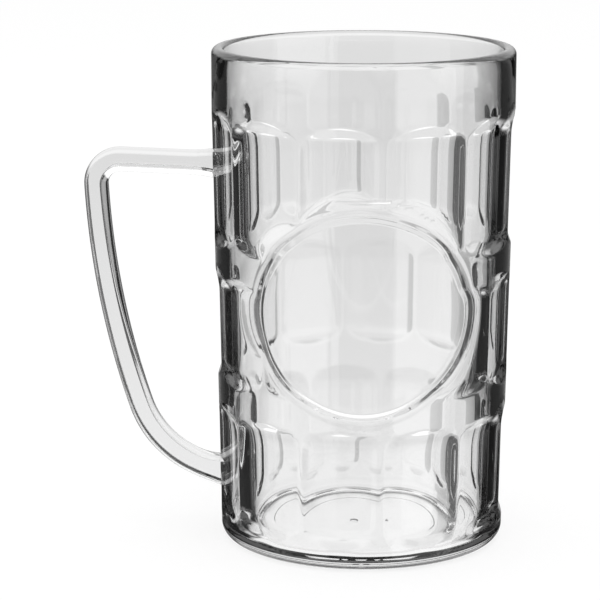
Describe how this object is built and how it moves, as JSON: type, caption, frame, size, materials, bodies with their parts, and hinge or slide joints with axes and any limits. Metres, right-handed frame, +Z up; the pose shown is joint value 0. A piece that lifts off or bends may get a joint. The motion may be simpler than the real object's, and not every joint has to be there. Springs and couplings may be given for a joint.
{
  "type": "beer mug",
  "caption": "Tall clear beer mug with a slightly tapered wall of staggered flat panels in three tiers, a round raised medallion at the front, a plain rim band and a bar handle on one side.",
  "frame": {"origin": "where the vessel's axis meets the surface that the mug stands on", "axes": "+Z up along the vessel's axis towards the lip, -Y towards the front medallion, -X towards the handle"},
  "size_m": [0.1268, 0.0894, 0.147],
  "materials": {
    "clear_plastic": "clear, smooth, fully transparent moulding with a high polish inside and out"
  },
  "bodies": {
    "root": {"mug_body": "clear_plastic", "handle": "clear_plastic"}
  },
  "joints": []
}
